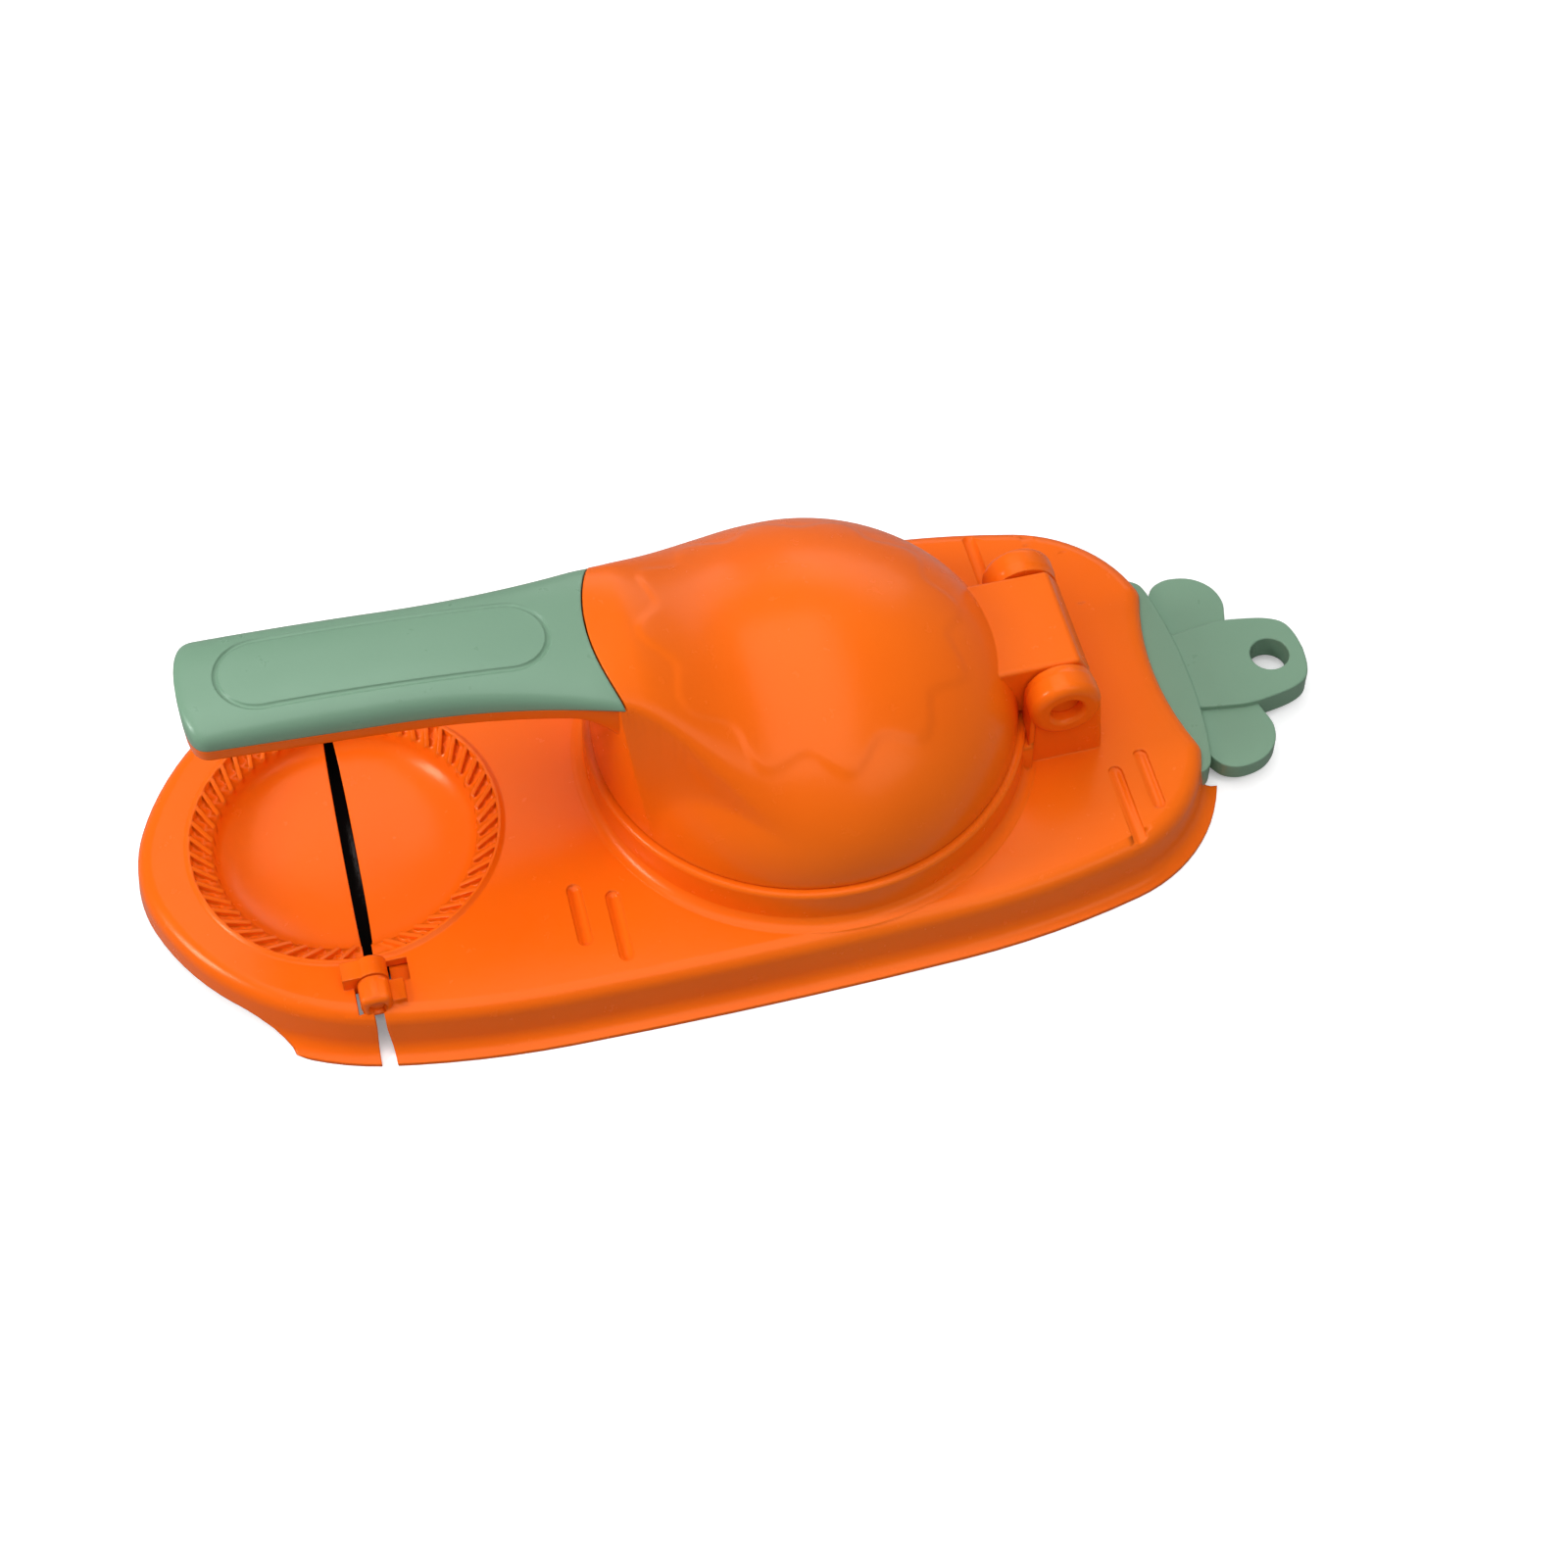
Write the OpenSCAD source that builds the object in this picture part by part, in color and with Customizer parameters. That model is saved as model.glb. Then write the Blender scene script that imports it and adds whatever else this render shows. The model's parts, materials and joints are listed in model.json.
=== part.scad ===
// Carrot-shaped dumpling maker: a hinged press for wrappers and a folding mould for filling them.
// Millimetres. +X runs from the folding flap to the leaf, +Y to the rear, +Z up; the foot stands on z = 0.

/* [Body] */
// Overall length from the flap's tip to the leaf's tip
total_l = 240; // [237:0.5:244]
// Widest width over the foot of the skirt
body_w = 105; // [101:0.5:112]
// Height of the top plate
body_h = 11.4; // [11:0.1:12.6]
// Wall of the plate and the skirt
wall = 2; // [1.6:0.1:2.4]
// Height of the lip at the skirt's foot
lip_h = 0.8; // [0.5:0.1:1.2]
// Radius of the flare above the lip
flare_r = 3.2; // [2.6:0.1:3.6]
// Radius of the edge round the top plate
edge_r = 3.2; // [2.4:0.1:3.4]
// Lean of the skirt between flare and edge
skirt_lean = 0.6; // [0.2:0.1:1]
// Thickness of the stiffening ribs under the plate
rib_t = 1.6; // [1.2:0.1:2.2]
// Height of the stiffening ribs
rib_h = 6; // [4:0.5:7]

/* [Folding mould] */
// Outer radius of the mould's raised rim
mould_r = 31; // [29:0.1:32]
// Height of the rim above the plate
rim_h = 0.6; // [0.3:0.1:1]
// Width of the band of pleating blades
band_w = 4; // [3:0.1:5]
// Thickness of one pleating blade
blade_t = 0.9; // [0.6:0.1:1.2]
// Blades in each half of the mould
blade_n = 26; // [20:1:30]
// Turn of a blade from its outer to its inner end, in degrees
blade_slant = 6; // [3:0.5:9]
// Wall of the dish
dish_wall = 1.6; // [1.2:0.1:1.8]
// Gap between the two halves of the mould
slot_w = 1.8; // [1.2:0.1:2.4]
// Height that the flap's foot is raised for a fingertip
finger_h = 5.2; // [4:0.1:6]

/* [Flap hinge] */
// Radius of the hinge pins of the flap
flap_pin_r = 1.5; // [1.2:0.1:1.8]
// Radius of the hinge barrels
barrel_r = 3.1; // [2.8:0.1:3.4]
// Width of the flap's lug
lug_w = 4.2; // [3.6:0.1:4.6]
// Width of the body's bracket
bracket_w = 4.8; // [4:0.1:5]
// Reach of lug and bracket from the hinge line
lug_l = 5.6; // [5:0.1:7]

/* [Press] */
// Distance from the mould's centre to the press's centre
press_pitch = 93; // [91:0.5:95]
// Outer radius of the cutting ring
ring_r = 44; // [42:0.5:45]
// Height of the cutting ring above the plate
ring_h = 8.6; // [7:0.1:10]
// Thickness of the ring's wall
ring_t = 2.5; // [2:0.1:3]
// Height of the dome over its foot
dome_h = 30.2; // [28:0.2:32]
// Wall of the dome
dome_wall = 2.4; // [2:0.1:3]
// Gap left for the dough under the press plate
dough_gap = 1.2; // [0.8:0.1:2]
// Thickness of the press plate
plate_t = 2.4; // [1.8:0.1:3]

/* [Lever hinge] */
// Distance from the press's centre to the hinge pin
hinge_reach = 48.3; // [47:0.1:51]
// Height of the hinge pin over the cutting ring
hinge_rise = 8; // [7:0.1:9]
// Radius of the hinge pin
pin_r = 3.6; // [3:0.1:4]
// Radius of the ears that hold the pin
ear_r = 7; // [6.4:0.1:7.2]
// Thickness of an ear
ear_t = 5.3; // [4:0.1:6]
// Width of the lever's knuckle between the ears
knuckle_w = 23.4; // [20:0.2:26]

/* [Handle] */
// Distance from the press's centre to the handle's free end
handle_l = 117; // [112:1:122]
// Width of the handle along its grip
handle_w = 24.4; // [22:0.2:27]
// Height of the orange core below the seam
core_h = 4.2; // [3.6:0.1:5]
// Height of the grip cover over the seam, above the mould
cover_h = 6; // [5:0.1:7]
// Fall of the handle towards the dome, per millimetre
handle_slope = 0.074; // [0.05:0.001:0.09]
// Wall of the handle's core and cover
handle_wall = 2.2; // [1.8:0.1:2.6]
// Length of the pill-shaped groove on the grip
pill_l = 62; // [50:1:66]
// Width of the pill-shaped groove
pill_w = 16.4; // [13:0.2:18]
// Width of the groove itself
groove_w = 1; // [0.6:0.1:1.4]

/* [Leaf] */
// Thickness of the leaf
leaf_t = 5.8; // [4.5:0.1:6]
// Height of the middle lobe over the side lobes
lobe_step = 1.2; // [0.8:0.1:1.8]
// Radius of the hanging hole
hang_r = 4; // [3:0.1:4.5]

/* [Clearances] */
// Gap between parts that swing past each other
swing_gap = 0.5; // [0.3:0.1:0.8]
// Gap round parts that fit into each other
fit_gap = 0.15; // [0.1:0.05:0.25]
// Radial clearance of a pin that turns
run_gap = 0.05; // [0.03:0.01:0.08]
// Radial clearance of a pin that is pressed in
seat_gap = 0.03; // [0.02:0.01:0.04]

/* [Hidden] */
$fn = 96;

orange = [0.97, 0.42, 0.08];
deep_orange = [0.86, 0.33, 0.06];
sage = [0.47, 0.63, 0.51];

// Outline of the foot: each arc is [radius, turn in degrees]; a negative radius curves inwards
slot_slope = 11.5;
side_arcs = [[200, 10.1], [1200, 3.7], [177, 12.2], [33, 60.5]];
corner_r = 8;
end_r = 60;
flap_arc = [57.8, 58];

function turned(s, arc) =
    let (r = arc[0], h = s[2] - sign(r) * arc[1],
        c = [s[0] + r * sin(s[2]), s[1] - r * cos(s[2])])
    [c[0] - r * sin(h), c[1] + r * cos(h), h];

function stations(s, arcs, i = 0) =
    i == len(arcs) ? [s] : concat([s], stations(turned(s, arcs[i]), arcs, i + 1));

// Points after station s along one arc, moved inwards by inset; chord_sag is what a chord may cut off
chord_sag = 0.03;
function arc_points(s, arc, inset) =
    let (r = arc[0], n = ceil(arc[1] / (2 * acos(1 - chord_sag / abs(r)))),
        c = [s[0] + r * sin(s[2]), s[1] - r * cos(s[2])])
    [for (k = [1:n]) let (h = s[2] - sign(r) * arc[1] * k / n)
        [c[0] - (r - inset) * sin(h), c[1] + (r - inset) * cos(h)]];

function outline(stops, arcs, inset) = concat(
    [stops[0] + inset * [sin(stops[0][2]), -cos(stops[0][2]), 0]],
    [for (i = [0:len(arcs) - 1]) each arc_points(stops[i], arcs[i], inset)]);

function back(pts) = [for (i = [len(pts) - 1:-1:0]) pts[i]];
function mirrored(pts) = [for (p = back(pts)) [p[0], -p[1]]];

// Whole outline at one height, from half of it that ends or starts on the middle line
function full_ring(half, z) = concat(
    [for (p = back(half)) [p[0], p[1], z]],
    [for (i = [0:len(half) - 2]) [half[i][0], -half[i][1], z]]);

// The side starts at the slot, so that its widest point gives the body's width
slot_y = body_w / 2 - side_arcs[0][0] * (cos(slot_slope - side_arcs[0][1]) - cos(slot_slope))
    - side_arcs[1][0] * (1 - cos(slot_slope - side_arcs[0][1]));
run_in = 2;
slot_stop = turned([0, slot_y, slot_slope], [side_arcs[0][0], -run_in]);
body_side = concat([side_arcs[0] + [0, run_in]], [for (i = [1:len(side_arcs) - 1]) side_arcs[i]]);
shoulder = stations(slot_stop, body_side)[len(body_side)];
end_turn = asin((shoulder[1] - corner_r * cos(shoulder[2])) / (end_r + corner_r));
body_arcs = concat(body_side, [[corner_r, 90 + shoulder[2] + end_turn], [-end_r, end_turn]]);
body_stops = stations(slot_stop, body_arcs);

flap_side = turned([0, slot_y, -slot_slope], flap_arc);
tip_r = flap_side[1] / cos(flap_side[2]);
flap_arcs = [flap_arc + [0, 3 * run_in], [tip_r, 90 + flap_side[2]]];
flap_start = turned([0, slot_y, -slot_slope], [flap_arc[0], -3 * run_in]);
flap_stops = stations(flap_start, flap_arcs);

// Heights
rim_z = body_h + rim_h;
flap_axis_z = rim_z + 0.2;
ring_top = body_h + ring_h;
dome_z = ring_top + 0.4;
axis_z = ring_top + hinge_rise;
pedestal_z = ring_top - 2;

// Places along the body; the flap's tip is where its raised foot cuts the skirt
skirt_mid = (finger_h - lip_h - flare_r) / (body_h - edge_r - lip_h - flare_r);
flap_reach = flap_stops[len(flap_stops) - 1][0] - flare_r - skirt_lean * skirt_mid;
mould_x = flap_reach - total_l / 2;
press_x = mould_x + press_pitch;
hinge_x = press_x + hinge_reach;
end_x = mould_x + body_stops[len(body_stops) - 1][0];

// Radii of the press, from the ring inwards
well_r = ring_r - ring_t;
dome_r = ring_r - 1.6;
plate_r = well_r - 1.8;
spigot_r = dome_r - dome_wall;
shoulder_z = dome_z + 4;

// Skirt in section: distance in from the foot's edge, and height
lean_u = flare_r + skirt_lean;
flat_u = lean_u + edge_r;
flare_z = lip_h + flare_r;
inner_flare_r = flare_r + wall;
plate_lap = 0.02;
foot_turn = acos(flare_z / inner_flare_r);
skirt_section = concat(
    [[flat_u + 0.6, body_h - wall + 0.3]],
    [for (a = [90:-30:0])
        [flat_u - (edge_r - wall) * cos(a), body_h - edge_r + (edge_r - wall) * sin(a)]],
    [for (a = [90:-15:foot_turn]) [inner_flare_r * sin(a), flare_z - inner_flare_r * cos(a)]],
    [[inner_flare_r * sin(foot_turn), 0], [0, 0]],
    [for (a = [0:22.5:90]) [flare_r * sin(a), flare_z - flare_r * cos(a)]],
    [for (a = [0:18:90]) [flat_u - edge_r * cos(a), body_h - edge_r + edge_r * sin(a)]],
    [[flat_u + 0.6, body_h - 0.3]]);

// Handle: heights and half width along the body
flap_sweep = norm([flap_reach, flap_axis_z - finger_h]);
under_z = flap_axis_z + flap_sweep + swing_gap;
seam_z = under_z + core_h;
handle_x = press_x - handle_l;
crown_x = handle_x + 7.5;
crown_z = seam_z + cover_h + 0.35;
neck_x = press_x - dome_r;
flare_x = -66;
belt_drop = 0.5;
foot_h = 0.8;
ridge_side = 6;
neck_fillet = 5;

function handle_under(x) = under_z - handle_slope * (x - mould_x);
function seam(x) = handle_under(x) + core_h;
function mix(a, b, t) = a + (b - a) * t;
function blend(t) = t <= 0 ? 0 : t >= 1 ? 1 : t * t * (3 - 2 * t);
function power(v, e) = sign(v) * pow(abs(v), e);

// The neck turns into the dome between the handle and the press's centre
function dome_share(x, from) = blend((x - from) / (press_x - from));
function dome_half(x) = sqrt(max(0, dome_r * dome_r - pow(x - press_x, 2)));
function nose(x) = let (t = min(1, (x - handle_x) / 5)) pow(1 - pow(1 - t, 3), 1 / 3);
function handle_half(x) = nose(x) * (handle_w / 2 + (x > flare_x ? 5.8 * pow((x - flare_x) / 44, 2.2) : 0));
function handle_top(x) = crown_z - 0.00128 * pow(x - crown_x, 2);

// Half width of a section, the height where it is widest, and the height of its top
function half_w(x) = mix(handle_half(x), dome_half(x), dome_share(x, neck_x));
function belt(x) = mix(seam(x) - belt_drop, dome_z + foot_h, dome_share(x, neck_x));
function crown(x) = mix(handle_top(x), dome_z + dome_h * dome_half(x) / dome_r, dome_share(x, neck_x + 8));
function roundness(x) = mix(3.4, 2, blend((x + 45) / 50));

// Heights over a place: the dome by itself, the neck's ridge by itself, and both joined by a fillet
function dome_surface(x, y) =
    dome_z + foot_h + (dome_h - foot_h)
        * sqrt(max(0, 1 - (pow(x - press_x, 2) + y * y) / (dome_r * dome_r)));
function ridge_surface(x, y) =
    let (s = abs(y) / half_w(x), n = roundness(x))
    s < 1 ? belt(x) + (crown(x) - belt(x)) * pow(1 - pow(s, n), 1 / n)
        : belt(x) - ridge_side * (s - 1) * half_w(x);
function lever_surface(x, y) =
    let (d = dome_surface(x, y), r = ridge_surface(x, y), k = neck_fillet * (1 - dome_share(x, neck_x)))
    x >= press_x ? d : (d + r + sqrt(pow(d - r, 2) + k * k)) / 2;

// A closed solid through rings of equal numbers of points
module loft(rings) {
    n = len(rings[0]);
    last = len(rings) - 1;
    polyhedron(
        points = [for (r = rings) each r],
        faces = concat(
            [[for (i = [0:n - 1]) i]],
            [for (k = [0:last - 1]) for (i = [0:n - 1]) let (j = (i + 1) % n, a = k * n, b = (k + 1) * n)
                each [[a + i, b + j, a + j], [a + i, b + i, b + j]]],
            [[for (i = [n - 1:-1:0]) last * n + i]]));
}

// A closed band through rings whose last one joins the first
module hoop(rings) {
    n = len(rings[0]);
    m = len(rings);
    polyhedron(
        points = [for (r = rings) each r],
        faces = [for (k = [0:m - 1]) for (i = [0:n - 1])
            let (j = (i + 1) % n, a = k * n, b = (k + 1) % m * n)
            each [[a + i, b + j, a + j], [a + i, b + i, b + j]]]);
}

module both_sides() {
    children();
    mirror([0, 1, 0]) children();
}

// A flat shape drawn in x and z, carried across the body's width
module across(w, y = 0) {
    translate([0, y + w / 2, 0]) rotate([90, 0, 0]) linear_extrude(w) children();
}

module rod_y(r, y0, y1) {
    translate([0, y1, 0]) rotate([90, 0, 0]) cylinder(r = r, h = y1 - y0);
}

// Skirt as a band round the outline, and the plate that fills it
module skirt(stops, arcs) {
    hoop([for (p = skirt_section) full_ring(outline(stops, arcs, p[0]), p[1])]);
}

module top_plate(stops, arcs) {
    translate([0, 0, body_h - wall]) linear_extrude(wall)
        polygon([for (p = full_ring(outline(stops, arcs, flat_u + plate_lap), 0)) [p[0], p[1]]]);
}

// Half of the mould: rim, band and dish as one revolved wall
band_r = mould_r - 1;
dish_r = band_r - band_w;
dish_z = 0.4 + dish_wall;
band_z = rim_z - 1.4;
dish_top = band_z - 1.6;

function dish_points(r, z0, z1) =
    [for (a = [0:10:90]) [r * pow(sin(a), 2 / 2.4), z1 - (z1 - z0) * pow(cos(a), 2 / 2.4)]];

module dish() {
    under = dish_points(dish_r + dish_wall, dish_z - dish_wall, dish_top - 0.4);
    rotate(-90) rotate_extrude(angle = 180) polygon(concat(
        dish_points(dish_r, dish_z, dish_top),
        [[band_r, band_z], [band_r + 0.2, rim_z - 0.2], [band_r + 0.4, rim_z], [mould_r - 0.2, rim_z],
            [mould_r, rim_z - 0.2], [mould_r + rim_h, body_h], [mould_r + rim_h, body_h - wall],
            [band_r + 0.6, body_h - wall - 1]],
        [for (i = [len(under) - 1:-1:0]) under[i]]));
}

// Slanted blades that pleat the rim of the dough; shift moves them by a share of their pitch
module blades(shift) {
    pitch = 180 / blade_n;
    r_out = band_r + 0.3;
    r_in = dish_r + 0.2;
    for (k = [0:blade_n - 1]) {
        a = -90 + pitch * (k + shift);
        from = r_out * [cos(a), sin(a)];
        to = r_in * [cos(a - blade_slant), sin(a - blade_slant)];
        run = norm(to - from);
        if (a - blade_slant > -88 && a < 88)
            translate([from[0], from[1], 0])
                rotate(atan2(to[1] - from[1], to[0] - from[0]))
                    across(blade_t) polygon([[0, band_z - 0.6], [run, dish_top - 0.5],
                        [run, dish_top + 0.9], [0, rim_z - 0.1]]);
    }
}

// Everything of one half that lies at its own side of the slot
module half_shell(stops, arcs, raised_foot, shift) {
    difference() {
        union() {
            difference() {
                skirt(stops, arcs);
                if (raised_foot) finger_cut();
            }
            difference() {
                top_plate(stops, arcs);
                translate([0, 0, -1]) cylinder(r = mould_r - 0.2, h = body_h + 2);
            }
            dish();
            blades(shift);
        }
        slot_cut();
    }
}

module slot_cut() {
    foot_gap = slot_w / 2 + 0.7;
    reach = body_w + 10;
    across(reach) polygon([[-20, -1], [foot_gap, -1], [slot_w / 2, body_h - edge_r - 0.7],
        [slot_w / 2, rim_z + 2], [-20, rim_z + 2]]);
}

module finger_cut() {
    from = slot_w / 2 + 13;
    rise = 12;
    across(body_w + 10) polygon(concat(
        [for (t = [0:0.125:1]) [from + rise * t, finger_h * (1 - cos(180 * t)) / 2]],
        [[60, finger_h], [60, -1], [from, -1]]));
}

// Flap hinge: the flap's lug lies next to the mould, the body's bracket outside it
lug_y = mould_r + rim_h + 0.8;
bracket_y = lug_y + lug_w + 0.4;
hinge_out = bracket_y + bracket_w;

// Barrel round the hinge line with an arm that runs back over its own plate
module knuckle(y, w, arm_top) {
    across(w, y + w / 2) {
        translate([0, flap_axis_z]) circle(r = barrel_r, $fn = 48);
        translate([0, body_h - wall]) square([lug_l, arm_top - body_h + wall]);
    }
}

module base_body() {
    color(orange) {
        difference() {
            union() {
                translate([mould_x, 0, 0]) difference() {
                    half_shell(body_stops, body_arcs, false, 0);
                    both_sides() hinge_notch(lug_y, lug_w, lug_l + 1.4);
                }
                translate([mould_x, 0, 0]) both_sides() knuckle(bracket_y, bracket_w, flap_axis_z + 0.4);
                cutting_ring();
                pedestal();
                ribs();
            }
            translate([hinge_x, 0, axis_z]) rod_y(pin_r + seat_gap, -pin_reach, pin_reach);
            translate([mould_x, 0, flap_axis_z]) both_sides()
                rod_y(flap_pin_r + seat_gap, bracket_y - 1, hinge_out + 9);
            leaf_pocket();
            decor_marks();
            well();
        }
        both_sides() leaf_peg();
    }
}

// Opening in a half's plate for the other half's lug or bracket
module hinge_notch(y, w, reach) {
    translate([-5, y - 0.4, body_h - wall - 4]) cube([reach + 5, w + 0.8, wall + 8]);
}

module cutting_ring() {
    translate([press_x, 0, 0]) rotate_extrude(angle = 360) polygon(concat(
        [[well_r, body_h - wall], [ring_r + 1.6, body_h - wall], [ring_r + 1.6, body_h]],
        [for (a = [0:30:90]) [ring_r + 1.6 - 1.4 * sin(a), body_h + 1.4 - 1.4 * cos(a)]],
        [for (a = [0:22.5:90]) [ring_r - 1 + cos(a), ring_top - 1 + sin(a)]],
        [for (a = [90:22.5:180]) [well_r + 0.6 + 0.6 * cos(a), ring_top - 0.6 + 0.6 * sin(a)]]));
}

module well() {
    translate([press_x, 0, body_h]) cylinder(r = well_r, h = ring_h + 2);
}

ear_y = knuckle_w / 2 + swing_gap;
pin_half = ear_y + ear_t - 1.6;
pin_reach = ear_y + ear_t + 3;

// Raised foot of the lever hinge and its two ears
module pedestal() {
    foot_x = [press_x + ring_r - 6, hinge_x + ear_r + 1.2];
    foot_y = ear_y + ear_t + 1;
    translate([0, 0, body_h - 0.5]) linear_extrude(pedestal_z - body_h + 0.5)
        polygon([[foot_x[0], -foot_y], [foot_x[1] - 2, -foot_y], [foot_x[1], 2 - foot_y],
            [foot_x[1], foot_y - 2], [foot_x[1] - 2, foot_y], [foot_x[0], foot_y]]);
    both_sides() across(ear_t, ear_y + ear_t / 2) {
        translate([hinge_x, axis_z]) circle(r = ear_r);
        translate([hinge_x - ear_r, pedestal_z - 0.5]) square([2 * ear_r, axis_z - pedestal_z + 0.5]);
    }
}

// Cross ribs and long ribs in the hollow under the plate
module ribs() {
    z = body_h - wall - rib_h;
    long_y = 23;
    from = mould_x + mould_r + 6;
    to = end_x - 22;
    for (y = [-long_y, long_y]) translate([from, y - rib_t / 2, z]) cube([to - from, rib_t, rib_h + 0.5]);
    for (x = [from, press_x, to]) {
        reach = 2 * (slot_y - flat_u + 0.5);
        translate([x - rib_t / 2, -reach / 2, z]) cube([rib_t, reach, rib_h + 0.5]);
    }
}

// Shallow pill-shaped marks in the top plate: x, inner y, outer y
marks = [[-37.6, 24.8, 36.4], [-30.6, 28, 41.6], [72.2, 23.4, 40.2], [78.2, 20.6, 32.4]];
module decor_marks() {
    mark_r = 1.4;
    both_sides() for (m = marks) translate([m[0], m[1], body_h - 0.5]) rotate(90)
        linear_extrude(2) pill(m[2] - m[1] + 2 * mark_r, 2 * mark_r);
}

module mold_flap() {
    color(orange) translate([mould_x, 0, 0]) mirror([1, 0, 0]) difference() {
        union() {
            difference() {
                half_shell(flap_stops, flap_arcs, true, 0.5);
                both_sides() hinge_notch(bracket_y, bracket_w, barrel_r + 0.6);
            }
            both_sides() knuckle(lug_y, lug_w, flap_axis_z + 2.4);
        }
        translate([0, 0, flap_axis_z]) both_sides() rod_y(flap_pin_r + run_gap, lug_y - 1, hinge_out + 9);
    }
}

module flap_pin() {
    translate([mould_x, 0, flap_axis_z]) rod_y(flap_pin_r, lug_y + 0.4, hinge_out);
}

module flap_pin_front() { color(deep_orange) mirror([0, 1, 0]) flap_pin(); }
module flap_pin_rear() { color(deep_orange) flap_pin(); }

// Places along the lever where its sections lie
handle_stops = concat(
    [for (t = [0.03, 0.12, 0.3, 0.6, 1]) handle_x + 5 * t],
    [for (x = [handle_x + 15:10:flare_x]) x],
    [for (x = [flare_x + 6:6:neck_x - 7]) x]);
core_stops = concat(handle_stops, [for (x = [neck_x - 6:1.5:neck_x + 4.5]) x]);
cover_stops = concat(handle_stops, [for (x = [neck_x - 4:4:neck_x + 12]) x]);
dome_stops = [for (a = [176, each [170:-6:92], each [84:-8:12], 5]) press_x + dome_r * cos(a)];

// Core of the handle: flat on top, rounded below, with a fillet where it meets the neck
function core_ring(x) =
    let (into = max(0, x - neck_x + 6), w = half_w(x) - 0.05 * into,
        low = handle_under(x) - 0.1 * into * into, side = seam(x) - 1.4)
    concat([[x, -w, seam(x) + 1]],
        [for (a = [-180:15:0]) [x, w * power(cos(a), 0.5), side + (side - low) * power(sin(a), 0.5)]],
        [[x, w, seam(x) + 1]]);

// Cover of the handle: rounded on top, with its lower edge under the seam
function cover_ring(x) =
    let (w = half_w(x), n = roundness(x), up = (crown(x) - belt(x)) * (0.82 + 0.18 * nose(x)))
    concat([[x, -w, seam(x) - 2], [x, w, seam(x) - 2]],
        [for (a = [0, each [5:10:175], 180])
            [x, w * power(cos(a), 2 / n), belt(x) + up * power(sin(a), 2 / n)]]);

// Section of dome and neck: more points where the ridge turns down
function dome_ring(x) =
    let (w = dome_half(x), edge = min(0.97 * half_w(x), 0.85 * w),
        half = concat([for (t = [1:-0.2:0]) mix(edge, w, t)],
            [for (t = [0.93, 0.82, 0.66, 0.45, 0.22]) edge * t]),
        all = concat(half, [0], [for (i = [len(half) - 1:-1:0]) -half[i]]))
    concat([[x, -w, dome_z], [x, w, dome_z]], [for (y = all) [x, y, lever_surface(x, y)]]);

// Space over the seam, in front of the arc in which the grip cover ends
module cover_space(r) {
    from = handle_x - 5;
    to = neck_x + 12;
    difference() {
        across(2 * ring_r)
            polygon([[from, seam(from)], [to, seam(to)], [to, crown_z + 10], [from, crown_z + 10]]);
        translate([press_x, 0, 0]) cylinder(r = r, h = crown_z + 20);
    }
}

cover_arc_r = dome_r - 0.9;

// Outline of the handle in plan, moved inwards by inset, between two places along the body
function plan(from, to, inset) =
    let (pts = [for (t = [0:1 / 16:1]) let (x = from + (to - from) * t) [x, half_w(x) - inset]])
    concat(pts, mirrored(pts));

module press_lever() {
    color(orange) difference() {
        union() {
            loft([for (x = core_stops) core_ring(x)]);
            loft([for (x = dome_stops) dome_ring(x)]);
            knuckle_block();
        }
        cover_space(cover_arc_r - 0.3);
        handle_channel();
        dome_hollow();
        translate([hinge_x, 0, axis_z]) rod_y(pin_r + run_gap, -knuckle_w, knuckle_w);
    }
}

module dome_hollow() {
    hollow_r = spigot_r - 1.6;
    hollow_h = dome_h - dome_wall;
    translate([press_x, 0, dome_z]) rotate_extrude(angle = 360) polygon(concat(
        [[0, -1], [spigot_r + fit_gap, -1], [spigot_r + fit_gap, shoulder_z - dome_z]],
        [for (a = [9:9:90]) [hollow_r * cos(a), hollow_h * sin(a)]]));
}

module knuckle_block() {
    knuckle_r = ear_r - 0.4;
    across(knuckle_w) {
        translate([hinge_x, axis_z]) circle(r = knuckle_r);
        translate([press_x + dome_r - 9, axis_z - knuckle_r])
            square([hinge_reach - dome_r + 9, 2 * knuckle_r]);
        translate([hinge_x, axis_z]) square([4.2, knuckle_r]);
    }
}

module handle_channel() {
    from = handle_x + 5 + handle_wall;
    to = neck_x - 4;
    intersection() {
        translate([0, 0, under_z - 20]) linear_extrude(60) polygon(plan(from, to, handle_wall));
        across(2 * ring_r) polygon([[from, under_z - 20], [to, under_z - 20],
            [to, seam(to) - handle_wall], [from, seam(from) - handle_wall]]);
    }
}

module press_plate() {
    foot_z = body_h + dough_gap;
    color(deep_orange) translate([press_x, 0, 0]) rotate_extrude(angle = 360) polygon([
        [0, foot_z], [plate_r - 1, foot_z], [plate_r - 0.4, foot_z + 0.6], [plate_r, foot_z + 4],
        [plate_r, dome_z - 1], [spigot_r, dome_z], [spigot_r, shoulder_z],
        [spigot_r - 1.8, shoulder_z], [plate_r - plate_t, dome_z - 1], [plate_r - plate_t, foot_z + plate_t],
        [0, foot_z + plate_t]]);
}

module grip_cover() {
    color(sage) difference() {
        intersection() {
            loft([for (x = cover_stops) cover_ring(x)]);
            cover_space(cover_arc_r);
        }
        cover_hollow();
        pill_groove();
    }
}

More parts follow.
